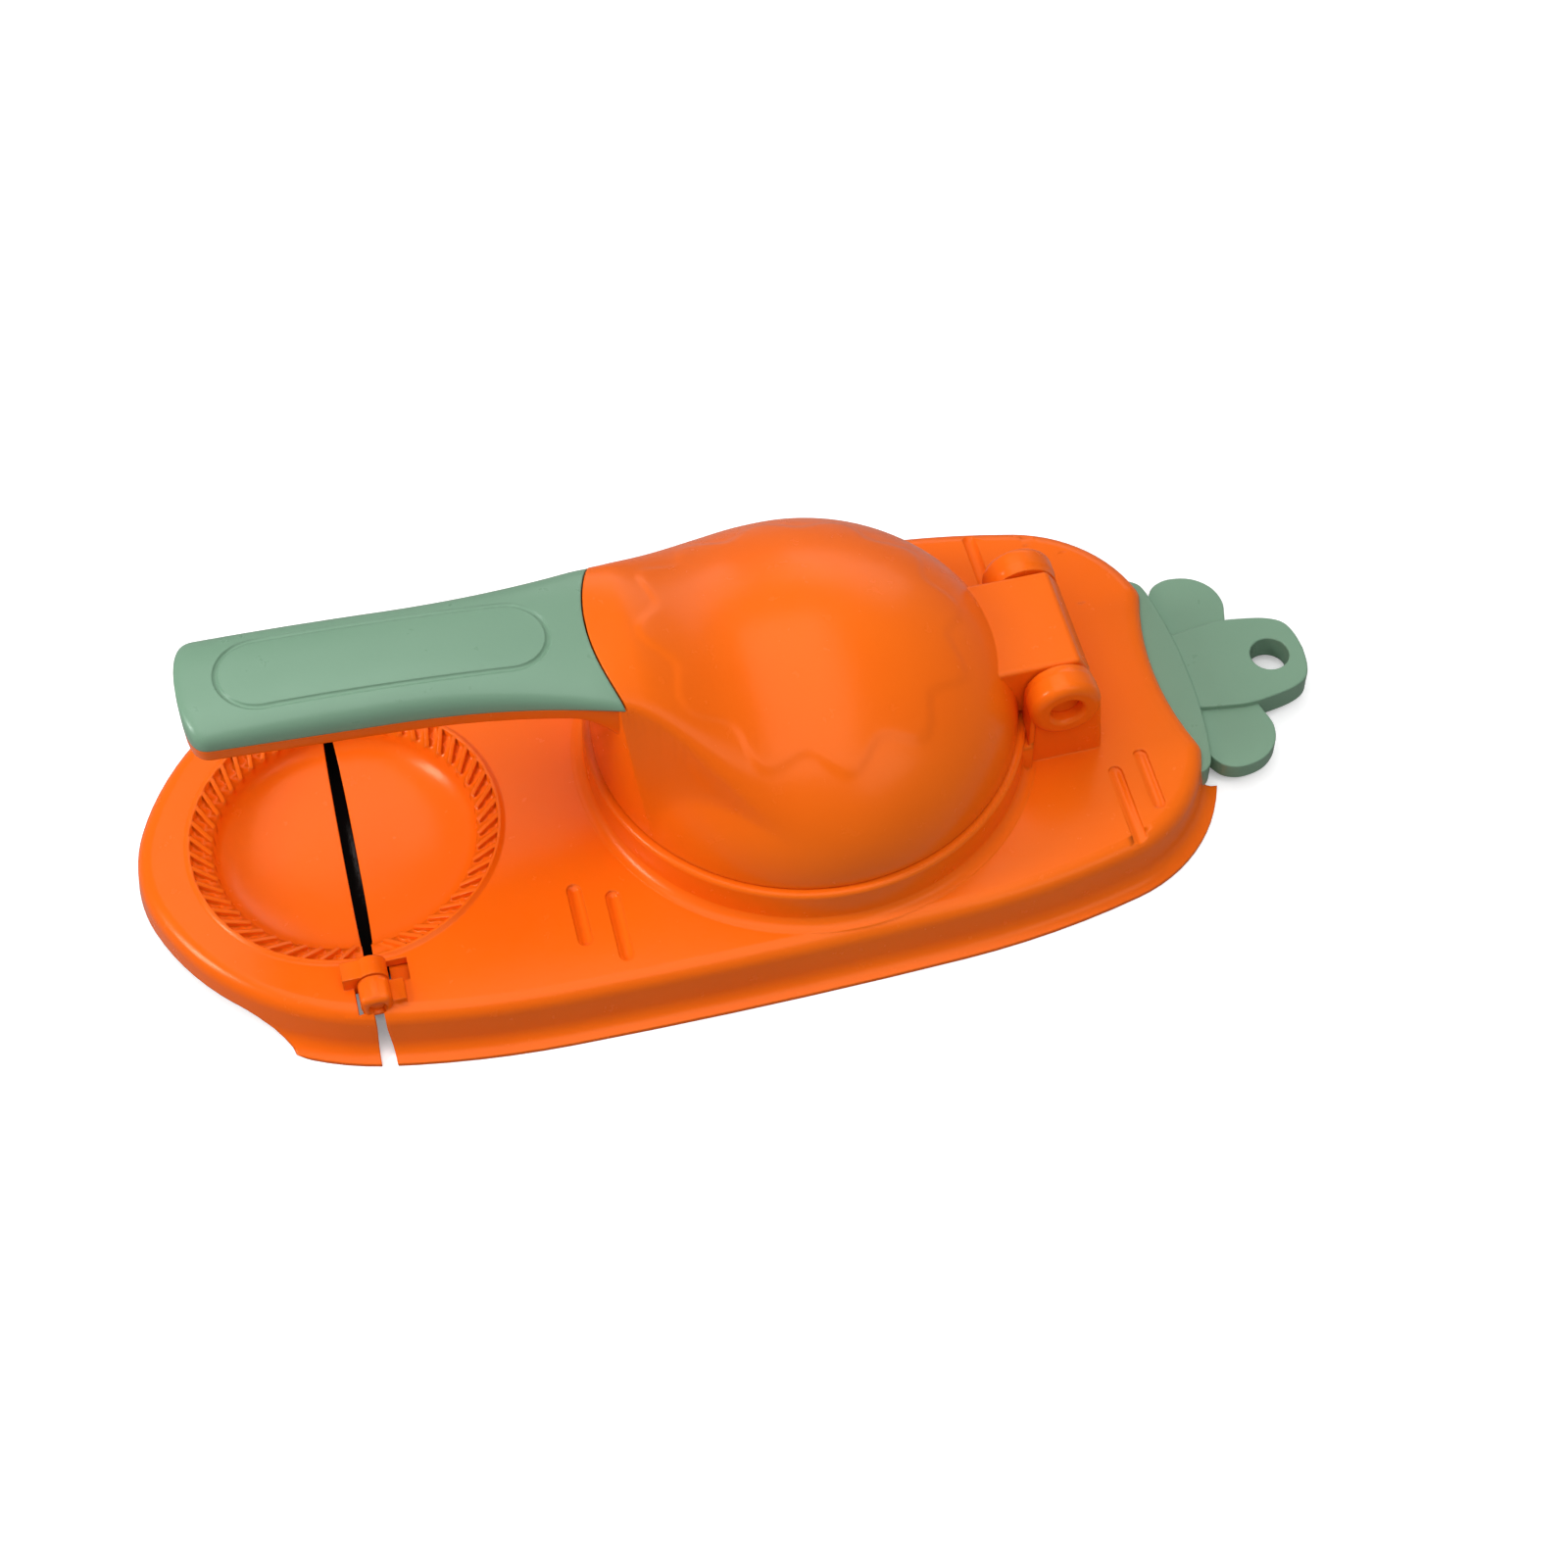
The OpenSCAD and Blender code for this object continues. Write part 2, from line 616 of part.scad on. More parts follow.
// Hollow under the cover, open at the seam
module cover_hollow() {
    from = handle_x + 5 + handle_wall;
    to = neck_x - 6;
    hollow_w = handle_w - 2 * handle_wall - 3;
    roof = cover_h - handle_wall - 1;
    intersection() {
        translate([from + hollow_w / 2, 0, under_z - 20]) linear_extrude(60) pill(to - from, hollow_w);
        across(handle_w) polygon([[from - 1, seam(from - 1) - 5], [to + 1, seam(to + 1) - 5],
            [to + 1, seam(to + 1) + roof], [from - 1, seam(from - 1) + roof]]);
    }
}

module pill(l, w) {
    polygon(concat(
        [for (a = [90:15:270]) w / 2 * [cos(a), sin(a)]],
        [for (a = [-90:15:90]) [l - w, 0] + w / 2 * [cos(a), sin(a)]]));
}

module pill_groove() {
    from = handle_x + 7;
    depth = 0.9;
    intersection() {
        translate([from + pill_w / 2, 0, under_z]) linear_extrude(60) difference() {
            pill(pill_l, pill_w);
            translate([groove_w, 0]) pill(pill_l - 2 * groove_w, pill_w - 2 * groove_w);
        }
        across(pill_w + 4) polygon(concat(
            [for (t = [0:0.125:1]) let (x = from - 2 + (pill_l + 4) * t) [x, crown(x) - depth]],
            [[from + pill_l + 2, crown_z + 5], [from - 2, crown_z + 5]]));
    }
}

// Leaf: three lobes on a collar, with a tongue that lies under the end of the plate
leaf_top = body_h - edge_r - 0.2;
leaf_z = leaf_top - leaf_t;
collar_x = end_x + 1.6;
leaf_tip_x = total_l / 2;
tongue_x = end_x - 16;
collar_half = 24;

// Middle lobe from the tip to the collar, and one side lobe from the middle line to the collar
middle_arcs = [[-26, 17], [-7, 66], [-120, 8], [-40, 9]];
middle_stops = stations([leaf_tip_x, 0, 90], middle_arcs);
side_lobe_arcs = [[-60, 6], [-6.5, 112], [-14, 38]];
side_lobe_stops = stations([collar_x + 9.2, 9, 54], side_lobe_arcs);

function middle_half(inset) = outline(middle_stops, middle_arcs, -inset);
function side_half(inset) = concat([[side_lobe_stops[0][0] - inset, 0]],
    outline(side_lobe_stops, side_lobe_arcs, -inset));

// Rim of a lobe in section: inset and height, rounded at both faces
function rim_section(z0, z1) = [[1.5, z1 - 0.3], [0.9, z1], [0.3, z1 - 0.3], [0, z1 - 0.9],
    [0, z0 + 0.9], [0.3, z0 + 0.3], [0.9, z0], [1.5, z0 + 0.3]];

module lobe(half, z0, z1) {
    hoop([for (p = back(rim_section(z0, z1))) full_ring(back(half(p[0])), p[1])]);
    translate([0, 0, z0]) linear_extrude(z1 - z0)
        polygon([for (p = full_ring(back(half(0.9 + plate_lap)), 0)) [p[0], p[1]]]);
}

module leaf_pocket() {
    translate([tongue_x, -collar_half - 0.5, -1]) cube([40, 2 * collar_half + 1, leaf_top + 1 + fit_gap]);
}

peg_x = tongue_x + 5;
peg_y = 14;
peg_r = 2.4;

module leaf_peg() {
    translate([peg_x, peg_y, leaf_z + 1]) cylinder(r = peg_r, h = body_h - wall - leaf_z - 0.5, $fn = 48);
}

module leaf_hanger() {
    color(sage) difference() {
        union() {
            lobe(function (inset) middle_half(inset), leaf_z, leaf_top);
            lobe(function (inset) side_half(inset), leaf_z + 0.4, leaf_top - lobe_step);
            translate([tongue_x + 0.5, -collar_half, leaf_z + 0.2])
                cube([collar_x - tongue_x, 2 * collar_half, leaf_t - 0.6]);
        }
        translate([leaf_tip_x - 7.2, 0, 0]) cylinder(r = hang_r, h = body_h);
        both_sides() translate([peg_x, peg_y, 0]) cylinder(r = peg_r + seat_gap, h = body_h, $fn = 48);
    }
}

module lever_hinge_pin() {
    color(deep_orange) translate([hinge_x, 0, axis_z]) rod_y(pin_r, -pin_half, pin_half);
}

base_body();
mold_flap();
press_lever();
press_plate();
grip_cover();
leaf_hanger();
lever_hinge_pin();
flap_pin_front();
flap_pin_rear();
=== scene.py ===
"""Dumpling maker in the shape of a carrot: a press for wrappers and a folding mould that pleats them shut.

Pieces are built in millimetres in the solids' own frame and brought to metres when they are placed. Lever,
cover and leaf follow the formulas of the solids in finer steps. Body and flap are copies of the solids, and
the body gets softer details.
"""

import json
import math

import bmesh
import bpy
from mathutils import Matrix, Vector


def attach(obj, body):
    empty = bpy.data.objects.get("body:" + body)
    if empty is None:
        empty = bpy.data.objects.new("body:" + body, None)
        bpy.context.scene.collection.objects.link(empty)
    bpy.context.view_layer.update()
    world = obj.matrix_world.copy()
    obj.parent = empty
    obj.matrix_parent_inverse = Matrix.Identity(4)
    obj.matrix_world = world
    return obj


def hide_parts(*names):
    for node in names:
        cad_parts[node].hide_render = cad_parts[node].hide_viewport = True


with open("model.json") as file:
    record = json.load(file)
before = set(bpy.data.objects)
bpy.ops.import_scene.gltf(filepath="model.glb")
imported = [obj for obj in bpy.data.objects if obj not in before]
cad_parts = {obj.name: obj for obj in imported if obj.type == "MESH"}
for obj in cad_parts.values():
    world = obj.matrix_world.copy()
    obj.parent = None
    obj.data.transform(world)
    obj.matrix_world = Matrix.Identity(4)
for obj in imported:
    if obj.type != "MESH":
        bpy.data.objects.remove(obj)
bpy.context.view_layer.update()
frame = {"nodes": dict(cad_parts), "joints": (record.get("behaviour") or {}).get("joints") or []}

MM = 0.001


# Materials

# Linear colours, between which each plastic drifts
ORANGE = (0.93, 0.135, 0.003)
ORANGE_WARM = (0.98, 0.160, 0.005)
GREEN = (0.180, 0.318, 0.214)
GREEN_LIGHT = (0.207, 0.354, 0.241)

# How fine the patterns in the plastics are; grain and flow marks are bumps and have a depth
DRIFT_SCALE = 14.0
GLOSS_SCALE = 260.0
GRAIN_SCALE = 900.0
GRAIN_DEPTH = 0.05 * MM
FLOW_SCALE = 45.0
FLOW_DEPTH = 0.25 * MM
EDGE_R = 0.5 * MM
PLASTIC_IOR = 1.49


def node(tree, kind, **inputs):
    """A node with some of its inputs set; a socket's name is given with _ for each space."""
    made = tree.nodes.new(kind)
    for name, value in inputs.items():
        made.inputs[name.replace("_", " ")].default_value = value
    return made


def noise(tree, coordinates, scale, detail, roughness):
    made = node(tree, "ShaderNodeTexNoise", Scale=scale, Detail=detail, Roughness=roughness)
    tree.links.new(coordinates, made.inputs["Vector"])
    return made.outputs["Fac"]


def spread(tree, value, low, high, to_low, to_high):
    """Carries a value from one range to another."""
    made = node(tree, "ShaderNodeMapRange", From_Min=low, From_Max=high, To_Min=to_low, To_Max=to_high)
    tree.links.new(value, made.inputs["Value"])
    return made.outputs["Result"]


def vector_math(tree, operation, vector, other):
    made = tree.nodes.new("ShaderNodeVectorMath")
    made.operation = operation
    tree.links.new(vector, made.inputs[0])
    made.inputs[1].default_value = other
    return made.outputs["Vector"]


def multiplied(tree, a, b):
    made = tree.nodes.new("ShaderNodeMath")
    made.operation = "MULTIPLY"
    tree.links.new(a, made.inputs[0])
    tree.links.new(b, made.inputs[1])
    return made.outputs["Value"]


def bump(tree, height, normal, strength, distance):
    made = node(tree, "ShaderNodeBump", Strength=strength, Distance=distance)
    tree.links.new(height, made.inputs["Height"])
    tree.links.new(normal, made.inputs["Normal"])
    return made.outputs["Normal"]


def moulded_plastic(name, dark, light, roughness, tint):
    """Moulded plastic: slow drift of colour, uneven gloss, fine grain, faint flow marks and soft edges."""
    material = bpy.data.materials.new(name)
    material.use_nodes = True
    tree = material.node_tree
    shader = tree.nodes["Principled BSDF"]
    place = tree.nodes.new("ShaderNodeTexCoord").outputs["Object"]

    drift = noise(tree, place, DRIFT_SCALE, 3.0, 0.55)
    shades = tree.nodes.new("ShaderNodeMix")
    shades.data_type = "RGBA"
    first, second, result = shades.inputs[6], shades.inputs[7], shades.outputs[2]
    first.default_value = (*dark, 1.0)
    second.default_value = (*light, 1.0)
    tree.links.new(spread(tree, drift, 0.35, 0.65, 0.0, 1.0), shades.inputs["Factor"])
    tree.links.new(result, shader.inputs["Base Color"])

    gloss = noise(tree, place, GLOSS_SCALE, 4.0, 0.6)
    uneven = spread(tree, gloss, 0.3, 0.7, roughness - 0.03, roughness + 0.04)
    tree.links.new(uneven, shader.inputs["Roughness"])

    soft_edge = node(tree, "ShaderNodeBevel", Radius=EDGE_R)
    soft_edge.samples = 6
    grain = noise(tree, place, GRAIN_SCALE, 2.0, 0.5)
    flow = noise(tree, place, FLOW_SCALE, 1.0, 0.4)
    surface = bump(tree, grain, soft_edge.outputs["Normal"], 0.35, GRAIN_DEPTH)
    surface = bump(tree, flow, surface, 0.5, FLOW_DEPTH)
    tree.links.new(surface, shader.inputs["Normal"])

    shader.inputs["IOR"].default_value = PLASTIC_IOR
    shader.inputs["Specular IOR Level"].default_value = 0.4
    shader.inputs["Specular Tint"].default_value = (*tint, 1.0)
    return material


orange = moulded_plastic("orange_plastic", ORANGE, ORANGE_WARM, 0.24, (1.0, 0.6, 0.4))
green = moulded_plastic("sage_plastic", GREEN, GREEN_LIGHT, 0.3, (0.9, 1.0, 0.95))


# Sizes of the solids

def hinge(name):
    """A joint's place in millimetres."""
    return [v / MM for v in next(j for j in frame["joints"] if j["name"] == name)["pos_m"]]


MOULD_X, _, FLAP_AXIS_Z = hinge("flap_hinge")
HINGE_X, _, AXIS_Z = hinge("lever_hinge")
PRESS_X = MOULD_X + 93.0
BODY_H = 11.4

DOME_R = 42.4
DOME_Z = 20.4
DOME_H = 30.2
DOME_WALL = 2.4
FOOT_H = 0.8
SPIGOT_R = DOME_R - DOME_WALL
SPIGOT_H = 4

HANDLE_X = PRESS_X - 117.0
HANDLE_W = 24.4
HANDLE_WALL = 2.2
HANDLE_SLOPE = 0.074
NOSE_L = 5
NECK_X = PRESS_X - DOME_R
FLARE_X = -66.0
FLARE_L = 44
FLARE_W = 5.8
CORE_H = 4.2
COVER_H = 6.0
UNDER_Z = 54.6645
SEAM_Z = UNDER_Z + CORE_H
CROWN_X = HANDLE_X + 7.5
CROWN_Z = SEAM_Z + COVER_H + 0.35
CROWN_BEND = 0.00128
BELT_DROP = 0.5
RIDGE_SIDE = 6.0
NECK_FILLET = 5.0
COVER_ARC_R = DOME_R - 0.9

KNUCKLE_W = 23.4
KNUCKLE_R = 6.6
PIN_R = 3.65


# Formulas of the lever: heights and half widths along the handle, and the surface of dome and neck

def mix(a, b, share):
    return a + (b - a) * share


def blend(t):
    """Goes smoothly from 0 to 1."""
    t = min(max(t, 0.0), 1.0)
    return t * t * (3 - 2 * t)


def power(value, exponent):
    """A power that keeps the sign."""
    return math.copysign(abs(value) ** exponent, value)


def handle_under(x):
    return UNDER_Z - HANDLE_SLOPE * (x - MOULD_X)


def seam(x):
    """Height at which the cover sits on the core."""
    return handle_under(x) + CORE_H


def dome_share(x, start):
    return blend((x - start) / (PRESS_X - start))


def dome_half(x):
    return math.sqrt(max(0.0, DOME_R ** 2 - (x - PRESS_X) ** 2))


def nose(x):
    """Roundness of the handle's end, in plan."""
    t = min(1.0, max(0.0, x - HANDLE_X) / NOSE_L)
    return (1 - (1 - t) ** 3) ** (1 / 3)


def handle_half(x):
    flare = FLARE_W * ((x - FLARE_X) / FLARE_L) ** 2.2 if x > FLARE_X else 0.0
    return nose(x) * (HANDLE_W / 2 + flare)


def handle_top(x):
    return CROWN_Z - CROWN_BEND * (x - CROWN_X) ** 2


def half_w(x):
    return mix(handle_half(x), dome_half(x), dome_share(x, NECK_X))


def belt(x):
    """Height of the widest line of handle, neck and dome."""
    return mix(seam(x) - BELT_DROP, DOME_Z + FOOT_H, dome_share(x, NECK_X))


def crown(x):
    """Height of the ridge line."""
    return mix(handle_top(x), DOME_Z + DOME_H * dome_half(x) / DOME_R, dome_share(x, NECK_X + 8))


def roundness(x):
    """Power of the section's outline: the handle is boxier than the neck."""
    return mix(3.4, 2.0, blend((x + 45) / 50))


def dome_surface(x, y):
    share = ((x - PRESS_X) ** 2 + y * y) / DOME_R ** 2
    return DOME_Z + FOOT_H + (DOME_H - FOOT_H) * math.sqrt(max(0.0, 1 - share))


def ridge_surface(x, y):
    """Top of handle and neck; past the widest line it falls steeply."""
    s = abs(y) / half_w(x)
    n = roundness(x)
    if s < 1:
        return belt(x) + (crown(x) - belt(x)) * (1 - s ** n) ** (1 / n)
    return belt(x) - RIDGE_SIDE * (s - 1) * half_w(x)


def lever_surface(x, y):
    """Dome and ridge, whichever is higher, with a fillet where they meet."""
    dome = dome_surface(x, y)
    if x >= PRESS_X:
        return dome
    ridge = ridge_surface(x, y)
    fillet = NECK_FILLET * (1 - dome_share(x, NECK_X))
    return (dome + ridge + math.hypot(dome - ridge, fillet)) / 2


# Outlines

def turns(count):
    """Angles round a full turn."""
    return [2 * math.pi * k / count for k in range(count)]


def arc_angles(start, stop, step):
    """Angles in radians from whole degrees, both ends included."""
    return [math.radians(d) for d in range(start, stop + 1, step)]


def circle(cx, cz, r, steps=64):
    return [(cx + r * math.cos(a), cz + r * math.sin(a)) for a in turns(steps)]


def rectangle(x0, x1, z0, z1):
    return [(x0, z0), (x1, z0), (x1, z1), (x0, z1)]


# Building and joining meshes

def shape(name, points, faces):
    """An object in the scene from points in millimetres."""
    mesh = bpy.data.meshes.new(name)
    mesh.from_pydata(points, [], faces)
    work = bmesh.new()
    work.from_mesh(mesh)
    bmesh.ops.recalc_face_normals(work, faces=work.faces)
    work.to_mesh(mesh)
    work.free()
    made = bpy.data.objects.new(name, mesh)
    bpy.context.scene.collection.objects.link(made)
    return made


def loft(name, rings, around=False):
    """A closed solid through rings of equal numbers of points; around joins the last ring to the first."""
    n = len(rings[0])
    count = len(rings)
    points = [p for ring in rings for p in ring]
    faces = []
    for k in range(count if around else count - 1):
        a, b = k * n, (k + 1) % count * n
        faces += [(a + i, a + (i + 1) % n, b + (i + 1) % n, b + i) for i in range(n)]
    if not around:
        faces += [tuple(range(n))[::-1], tuple(range((count - 1) * n, count * n))]
    return shape(name, points, faces)


def turned(name, outline, centre, steps=192):
    """A closed solid from an outline of (radius, height) turned about an upright axis."""
    cx, cy = centre
    rings = [[(cx + r * math.cos(a), cy + r * math.sin(a), z) for r, z in outline] for a in turns(steps)]
    made = loft(name, rings, around=True)
    work = bmesh.new()
    work.from_mesh(made.data)
    bmesh.ops.remove_doubles(work, verts=work.verts, dist=1e-4)
    bmesh.ops.dissolve_degenerate(work, edges=work.edges, dist=1e-5)
    work.to_mesh(made.data)
    work.free()
    return made


def cylinder(name, r, z0, z1, centre, steps=192):
    return turned(name, rectangle(0, r, z0, z1), centre, steps)


def across(name, outline, y0, y1):
    """A flat outline of (x, z) carried from y0 to y1, in either order."""
    return loft(name, [[(x, y, z) for x, z in outline] for y in sorted((y0, y1))])


def rod(x, z, side, stops, steps=64):
    """A round tool along y through stops of (distance from the middle, radius); side is 1 or -1."""
    rings = [[(x + r * math.cos(a), side * y, z + r * math.sin(a)) for a in turns(steps)] for y, r in stops]
    return loft("rod", rings)


def evaluated_mesh(made):
    """The object's mesh with its modifiers applied."""
    bpy.context.view_layer.update()
    graph = bpy.context.evaluated_depsgraph_get()
    return bpy.data.meshes.new_from_object(made.evaluated_get(graph))


def reach(mesh):
    """Lowest and highest corner of a mesh."""
    places = [v.co for v in mesh.vertices] or [Vector((0, 0, 0))]
    return [[pick(p[i] for p in places) for i in range(3)] for pick in (min, max)]


def holds(outer, inner, slack=0.01):
    low = all(a <= b + slack for a, b in zip(outer[0], inner[0]))
    return low and all(a >= b - slack for a, b in zip(outer[1], inner[1]))


def joined(target, tool, operation):
    """Unites target with tool, or cuts it by tool; the tool is used up. A faulty result is made again."""
    step = target.modifiers.new("join", "BOOLEAN")
    step.object = tool
    step.operation = operation
    step.solver = "EXACT"
    before = reach(target.data)
    for _ in range(5):
        target.update_tag()
        result = evaluated_mesh(target)
        after = reach(result)
        if holds(after, before) if operation == "UNION" else holds(before, after):
            break
    target.modifiers.clear()
    target.data = result
    bpy.data.objects.remove(tool)
    return target


def rounded(made, width, angle=30, segments=3):
    """Rounds the sharp edges of a simple solid."""
    step = made.modifiers.new("round", "BEVEL")
    step.width = width
    step.segments = segments
    step.limit_method = "ANGLE"
    step.angle_limit = math.radians(angle)
    step.use_clamp_overlap = True
    made.data = evaluated_mesh(made)
    made.modifiers.clear()
    return made


def copied(cad_node):
    """A welded copy of a solid's mesh, in millimetres."""
    mesh = frame["nodes"][cad_node].data.copy()
    mesh.transform(Matrix.Scale(1 / MM, 4))
    work = bmesh.new()
    work.from_mesh(mesh)
    bmesh.ops.remove_doubles(work, verts=work.verts, dist=0.004)
    bmesh.ops.dissolve_limit(work, angle_limit=math.radians(0.05), verts=work.verts, edges=work.edges)
    bmesh.ops.recalc_face_normals(work, faces=work.faces)
    work.to_mesh(mesh)
    work.free()
    piece = bpy.data.objects.new(cad_node + "_copy", mesh)
    bpy.context.scene.collection.objects.link(piece)
    return piece


def placed(piece, name, body, material, cad_node, angle=30):
    """Brings a piece from millimetres to metres, smooths it up to the angle, hangs it on its body and hides
    the solid that it stands for.
    """
    piece.name = name
    mesh = piece.data
    mesh.name = name
    mesh.transform(Matrix.Scale(MM, 4))
    mesh.materials.clear()
    mesh.materials.append(material)
    mesh.shade_smooth()
    mesh.set_sharp_from_angle(angle=math.radians(angle))
    weighted = piece.modifiers.new("even normals", "WEIGHTED_NORMAL")
    weighted.keep_sharp = True
    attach(piece, body)
    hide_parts(cad_node)


# Lever: dome and neck, core of the handle and knuckle

RELIEF_R = 29.8
RELIEF_WAVE = 2.0
RELIEF_LOBES = 12
RELIEF_TURN = math.radians(-117)
RELIEF_H = 0.34
RELIEF_STEP = 1.9

# How far in from its edge the dome's surface drops: a little at the rim, more on both flanks of the neck
RIM_SOFT = 0.4
FLANK_SOFT = 4.0
FLANK_START = 118
FLANK_STOP = 158

DOME_STEPS = 360
DOME_RINGS = 72


def relief(x, y):
    """Low plateau on the dome with a scalloped edge."""
    a = math.atan2(y, x - PRESS_X)
    edge = RELIEF_R + RELIEF_WAVE * math.cos(RELIEF_LOBES * (a - RELIEF_TURN))
    return RELIEF_H * blend((edge - math.hypot(x - PRESS_X, y)) / RELIEF_STEP + 0.5)


def softened(distance, radius):
    """How far a surface drops near its edge, so that the edge is round."""
    if distance >= radius:
        return 0.0
    return radius - math.sqrt(max(0.0, radius ** 2 - (radius - distance) ** 2))


def edge_radius(a):
    """Roundness of the dome's edge at an angle from the hinge."""
    off = math.degrees(abs(math.remainder(a, 2 * math.pi)))
    flank = blend((off - FLANK_START) / 16) * blend((FLANK_STOP - off) / 8)
    return mix(RIM_SOFT, FLANK_SOFT, flank)


def dome_solid():
    """Dome and neck as one surface over a disc."""
    angles = turns(DOME_STEPS)
    edges = [edge_radius(a) for a in angles]
    points = []
    for k in range(1, DOME_RINGS + 1):
        r = DOME_R * math.sin(0.5 * math.pi * k / DOME_RINGS)
        for a, radius in zip(angles, edges):
            x, y = PRESS_X + r * math.cos(a), r * math.sin(a)
            z = lever_surface(x, y) + relief(x, y) - softened(DOME_R - r, radius)
            points.append((x, y, max(z, DOME_Z + 0.3)))
    base = len(points)
    points += [(x, y, DOME_Z) for x, y, z in points[-DOME_STEPS:]]
    middle = len(points)
    points += [(PRESS_X, 0, DOME_Z + DOME_H + RELIEF_H), (PRESS_X, 0, DOME_Z)]
    faces = []
    for i in range(DOME_STEPS):
        j = (i + 1) % DOME_STEPS
        faces.append((middle, i, j))
        for k in range(DOME_RINGS):
            near, far = k * DOME_STEPS, (k + 1) * DOME_STEPS
            faces.append((near + i, far + i, far + j, near + j))
        faces.append((middle + 1, base + j, base + i))
    return shape("dome", points, faces)


def core_ring(x, steps=48):
    """Section of the core: flat on top and round below, drawn in and down where it runs into the neck."""
    into = max(0.0, x - NECK_X + 6)
    w = half_w(x) - 0.05 * into
    low = handle_under(x) - 0.1 * into * into
    side = seam(x) - 1.4
    ring = [(x, -w, seam(x))]
    for k in range(steps + 1):
        a = math.pi * (k / steps - 1)
        ring.append((x, w * power(math.cos(a), 0.5), side + (side - low) * power(math.sin(a), 0.5)))
    ring.append((x, w, seam(x)))
    return ring


def stations(last, step=1.5):
    """Places along the handle, close together round its end."""
    made = [HANDLE_X + NOSE_L * (1 - math.cos(0.5 * math.pi * k / 12)) for k in range(1, 13)]
    x = made[-1] + step
    while x < last:
        made.append(x)
        x += step
    return made + [last]


def knuckle_outline():
    """Side view of the knuckle: round at the pin, square where it meets the dome."""
    left = PRESS_X + DOME_R - 9
    arc = [(HINGE_X + KNUCKLE_R * math.cos(a), AXIS_Z + KNUCKLE_R * math.sin(a))
           for a in arc_angles(-90, 0, 6)]
    corner = [(HINGE_X + KNUCKLE_R, AXIS_Z + 2.4), (HINGE_X + 4.2, AXIS_Z + KNUCKLE_R)]
    return [(left, AXIS_Z - KNUCKLE_R)] + arc + corner + [(left, AXIS_Z + KNUCKLE_R)]


def dome_hollow():
    """Socket of the press plate and the hollow above it."""
    r, h = SPIGOT_R - 1.6, DOME_H - DOME_WALL
    socket = SPIGOT_R + 0.15
    outline = [(0, DOME_Z - 1), (socket, DOME_Z - 1), (socket, DOME_Z + SPIGOT_H)]
    outline += [(r * math.cos(a), DOME_Z + h * math.sin(a)) for a in arc_angles(6, 90, 3)]
    return turned("hollow", outline, (PRESS_X, 0), 128)


def handle_section(x, half, low, roof):
    return [(x, y, z) for y, z in rectangle(-half, half, low, roof)]


def channel():
    """Hollow under the handle's core."""
    start, stop = HANDLE_X + NOSE_L + HANDLE_WALL, NECK_X - 4
    rings = []
    for k in range(33):
        x = mix(start, stop, k / 32)
        rings.append(handle_section(x, half_w(x) - HANDLE_WALL, UNDER_Z - 20, seam(x) - HANDLE_WALL))
    return loft("channel", rings)


def cover_space(r):
    """Space over the seam, in front of the arc of radius r in which the cover ends."""
    left, right = HANDLE_X - 5, NECK_X + 14
    space = across("space", [(left, seam(left)), (right, seam(right)), (right, 90), (left, 90)], -50, 50)
    return joined(space, cylinder("arc", r, 0, 100, (PRESS_X, 0), 720), "DIFFERENCE")


def lever_piece():
    lever = dome_solid()
    joined(lever, cover_space(COVER_ARC_R - 0.3), "DIFFERENCE")
    joined(lever, loft("core", [core_ring(x) for x in stations(NECK_X + 4.5)]), "UNION")
    tab = rounded(across("tab", knuckle_outline(), -KNUCKLE_W / 2, KNUCKLE_W / 2), 0.8)
    joined(lever, tab, "UNION")
    joined(lever, channel(), "DIFFERENCE")
    joined(lever, dome_hollow(), "DIFFERENCE")
    joined(lever, across("bore", circle(HINGE_X, AXIS_Z, PIN_R), -20, 20), "DIFFERENCE")
    placed(lever, "lever_shell", "lever", orange, "press_lever")


# Cover of the handle

PILL_L = 62.0
PILL_W = 16.4
PILL_START = HANDLE_X + 7
GROOVE_R = 0.55
GROOVE_INSET = 0.5
GROOVE_RISE = 0.12


def cover_ring(x, steps=64):
    w, n = half_w(x), roundness(x)
    up = 0.998 * (crown(x) - belt(x)) * (0.82 + 0.18 * nose(x))
    ring = [(x, -w, seam(x) - 2), (x, w, seam(x) - 2)]
    for k in range(steps + 1):
        a = math.pi * k / steps
        ring.append((x, w * power(math.cos(a), 2 / n), belt(x) + up * power(math.sin(a), 2 / n)))
    return ring


def cover_hollow():
    start, stop = HANDLE_X + NOSE_L + HANDLE_WALL, NECK_X - 6
    half, roof = (HANDLE_W - 2 * HANDLE_WALL - 3) / 2, COVER_H - HANDLE_WALL - 1
    ends = [handle_section(x, half, seam(x) - 5, seam(x) + roof) for x in (start, stop)]
    return loft("cover_hollow", ends)


def pill(length, width, steps=24):
    """Points round a pill that starts at x = 0."""
    r = width / 2
    half_turn = [k / steps for k in range(steps + 1)]
    right = [(length - r + r * math.cos(a), r * math.sin(a))
             for a in (math.pi * (t - 0.5) for t in half_turn)]
    left = [(r + r * math.cos(a), r * math.sin(a))
            for a in (math.pi * (t + 0.5) for t in half_turn)]
    straight = [k / 30 for k in range(1, 30)]
    back = [(mix(length - r, r, t), r) for t in straight]
    forth = [(mix(r, length - r, t), -r) for t in straight]
    return right + back + left + forth


